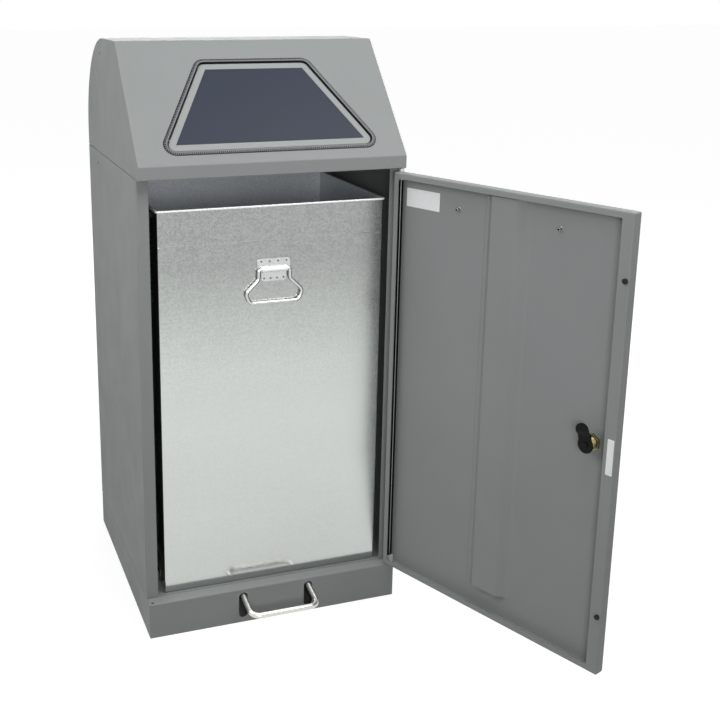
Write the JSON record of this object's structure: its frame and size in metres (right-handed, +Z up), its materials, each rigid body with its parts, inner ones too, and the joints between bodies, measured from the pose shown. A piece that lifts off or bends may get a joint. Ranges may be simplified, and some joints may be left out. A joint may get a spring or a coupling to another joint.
{
  "type": "pedal recycling bin",
  "caption": "Sheet steel waste station on a plinth with a hooded top, a flap worked by a pedal, a side hung door and a lift out galvanised container",
  "frame": {"origin": "on the floor under the middle of the cabinet's footprint", "axes": "+X to the right seen from the front, +Y to the back, +Z up; the front faces -Y"},
  "size_m": [0.6214, 0.8743, 1],
  "materials": {
    "body_paint": "mid grey powder coat on folded steel sheet",
    "flap_paint": "lighter grey powder coat",
    "inlay_blue": "dark blue grey, satin",
    "galvanised": "galvanised steel with a faint spangle",
    "stainless": "bright drawn stainless steel",
    "steel": "zinc plated steel",
    "rubber": "black rubber",
    "nylon": "off white nylon",
    "label": "blank sticker",
    "yellow_zinc": "yellow passivated zinc",
    "black_steel": "black coated steel"
  },
  "bodies": {
    "cabinet": {"plinth": "body_paint", "base_plate": "body_paint", "cabinet_floor": "body_paint", "left_side_panel": "body_paint", "right_side_panel": "body_paint", "left_front_stile": "body_paint", "right_front_stile": "body_paint", "back_panel": "body_paint", "hood_shell": "body_paint", "hood_left_cheek": "body_paint", "hood_right_cheek": "body_paint", "left_splice_strip": "body_paint", "right_splice_strip": "body_paint", "hood_brace": "body_paint", "body_rivets": "body_paint", "opening_trim": "rubber", "flap_bush_left": "nylon", "flap_bush_right": "nylon", "rod_guide_upper": "nylon", "rod_guide_lower": "nylon", "pedal_bracket_left": "body_paint", "pedal_bracket_right": "body_paint", "pedal_bushes": "nylon", "pedal_stop": "rubber", "container_guides": "galvanised", "container_stop": "galvanised", "hinge_pin_lower": "steel", "hinge_pin_upper": "steel", "hinge_washers": "nylon", "stile_studs": "body_paint"},
    "flap": {"flap_panel": "flap_paint", "flap_inlay": "inlay_blue", "flap_buffers": "rubber", "flap_shaft": "steel", "flap_crank": "steel"},
    "rod": {"push_rod": "steel", "rod_top_pin": "steel", "rod_collar": "steel", "return_spring": "steel"},
    "pedal": {"pedal_bar": "stainless", "pedal_shaft": "steel", "pedal_lever": "steel", "lever_pin": "steel"},
    "container": {"container_shell": "galvanised", "handle_plate": "galvanised", "handle_rivets": "stainless"},
    "bail": {"bail_handle": "stainless"},
    "door": {"door_pan": "body_paint", "door_stiffener": "body_paint", "door_hinge_profile": "rubber", "door_studs": "stainless", "door_buffers": "rubber", "door_labels": "label", "door_pivot_blocks": "nylon", "lock_housing": "yellow_zinc", "lock_nut": "yellow_zinc"},
    "lock_rotor": {"lock_plug": "stainless", "lock_cam": "black_steel", "lock_screw": "black_steel"}
  },
  "joints": [
    {"name": "door_hinge", "type": "hinge", "parent": "cabinet", "child": "door", "pos_m": [0.221, -0.225, 0.4], "axis": [0, 0, 1], "range_deg": [-112, 68]},
    {"name": "lock_turn", "type": "hinge", "parent": "door", "child": "lock_rotor", "pos_m": [0.3751, -0.59307, 0.431], "axis": [0.9272, 0.3746, 0], "range_deg": [0, 90]},
    {"name": "flap_hinge", "type": "hinge", "parent": "cabinet", "child": "flap", "pos_m": [0, -0.0808, 0.95749], "axis": [1, 0, 0], "range_deg": [0, 55]},
    {"name": "pedal_hinge", "type": "hinge", "parent": "cabinet", "child": "pedal", "pos_m": [0, -0.18, 0.051], "axis": [1, 0, 0], "range_deg": [0, 16]},
    {"name": "rod_slide", "type": "slide", "parent": "cabinet", "child": "rod", "axis": [0, 0, 1], "range_m": [0, 0.0373], "stiffness_N_per_m": 600, "springref_m": -0.045, "deforming": ["return_spring"]},
    {"name": "container_slide", "type": "slide", "parent": "cabinet", "child": "container", "axis": [0, -1, 0], "range_m": [0, 0.31]},
    {"name": "bail_hinge", "type": "hinge", "parent": "container", "child": "bail", "pos_m": [0.0025, -0.20795, 0.6325], "axis": [-1, 0, 0], "range_deg": [0, 170]}
  ],
  "couplings": [
    {"joint": "pedal_hinge", "follows": "flap_hinge", "ratio": 0.29074},
    {"joint": "rod_slide", "follows": "flap_hinge", "m_per_rad": 0.038828}
  ]
}
